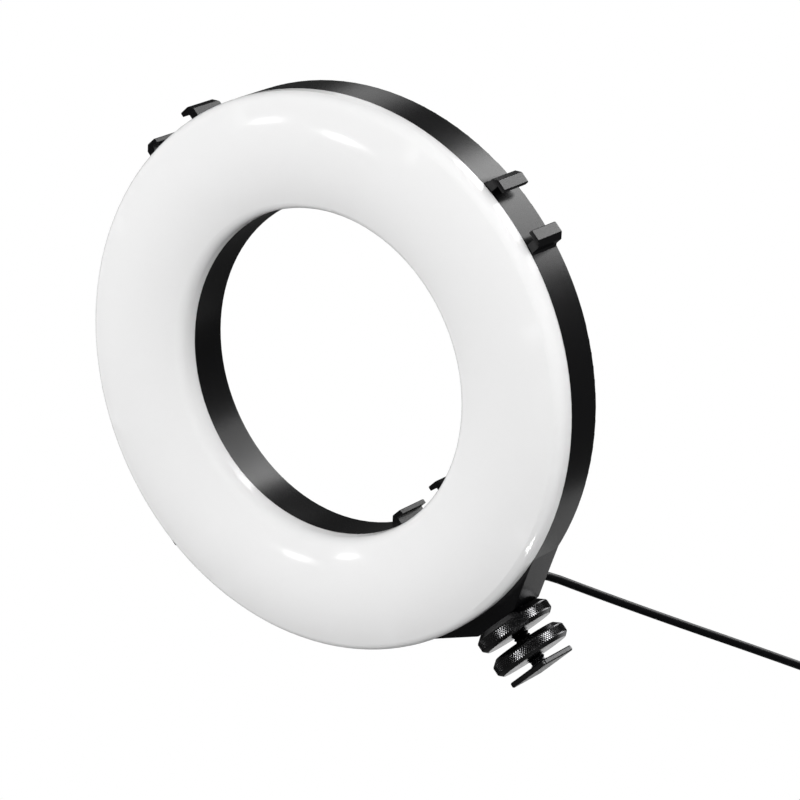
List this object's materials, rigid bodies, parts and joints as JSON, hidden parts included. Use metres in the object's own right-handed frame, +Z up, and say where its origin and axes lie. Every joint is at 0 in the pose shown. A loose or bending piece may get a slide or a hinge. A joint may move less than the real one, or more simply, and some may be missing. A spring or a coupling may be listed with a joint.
{
  "type": "led ring light",
  "caption": "Ring-shaped camera light with an opal diffuser, standing on a threaded shoe foot with knurled thumb nuts, with a lead, an in-line controller and a plug.",
  "frame": {"origin": "centre of the shoe foot's flat underside", "axes": "+Z up the stud towards the ring, -Y the way the light shines, +X to the right seen from the front"},
  "size_m": [0.2122, 0.2519, 0.3301],
  "materials": {
    "black_metal": "satin",
    "steel": "satin",
    "housing_plastic": "satin",
    "opal": "gloss",
    "board_white": "matte",
    "led_cool": "gloss",
    "led_warm": "gloss",
    "black_screw": "satin",
    "brass": "satin",
    "cord_rubber": "satin",
    "controller_plastic": "satin",
    "board_green": "matte",
    "switch_black": "matte",
    "button_grey": "satin",
    "plug_steel": "polished",
    "tongue_white": "matte",
    "contact_gold": "polished",
    "tie_black": "satin"
  },
  "bodies": {
    "foot": {"shoe_foot": "black_metal", "stud": "steel"},
    "lower_nut": {"lower_thumb_nut": "black_metal"},
    "upper_nut": {"upper_thumb_nut": "black_metal"},
    "head": {"housing": "housing_plastic", "diffuser": "opal", "led_board": "board_white", "leds_cool": "led_cool", "leds_warm": "led_warm", "board_screws": "black_screw", "diffuser_screws": "black_screw", "threaded_insert": "brass", "cord_boot": "cord_rubber", "cord_lead": "cord_rubber", "cord_link": "cord_rubber", "cord_coil": "cord_rubber", "cord_tail": "cord_rubber", "coil_tie": "tie_black", "controller_upper": "controller_plastic", "controller_lower": "controller_plastic", "controller_board": "board_green", "tact_switches": "switch_black", "controller_screws": "black_screw", "controller_boots": "cord_rubber", "usb_overmould": "cord_rubber", "usb_shell": "plug_steel", "usb_tongue": "tongue_white", "usb_contacts": "contact_gold"},
    "power_button": {"button_power": "button_grey"},
    "dimmer_button": {"button_dimmer": "button_grey"},
    "brighter_button": {"button_brighter": "button_grey"},
    "colour_button": {"button_colour": "button_grey"}
  },
  "joints": [
    {"name": "lower_nut_turn", "type": "hinge", "parent": "foot", "child": "lower_nut", "pos_m": [0, 0, 0.00855], "axis": [0, 0, 1], "range_deg": [-180, 180]},
    {"name": "upper_nut_turn", "type": "hinge", "parent": "foot", "child": "upper_nut", "pos_m": [0, 0, 0.01845], "axis": [0, 0, 1], "range_deg": [-180, 180]},
    {"name": "head_swivel", "type": "hinge", "parent": "foot", "child": "head", "pos_m": [0, 0, 0.022], "axis": [0, 0, 1], "range_deg": [-180, 180]},
    {"name": "power_press", "type": "slide", "parent": "head", "child": "power_button", "axis": [0, 0, -1], "range_m": [0, 0.0004], "stiffness_N_per_m": 1500},
    {"name": "dimmer_press", "type": "slide", "parent": "head", "child": "dimmer_button", "axis": [0, 0, -1], "range_m": [0, 0.0004], "stiffness_N_per_m": 1500},
    {"name": "brighter_press", "type": "slide", "parent": "head", "child": "brighter_button", "axis": [0, 0, -1], "range_m": [0, 0.0004], "stiffness_N_per_m": 1500},
    {"name": "colour_press", "type": "slide", "parent": "head", "child": "colour_button", "axis": [0, 0, -1], "range_m": [0, 0.0004], "stiffness_N_per_m": 1500}
  ]
}
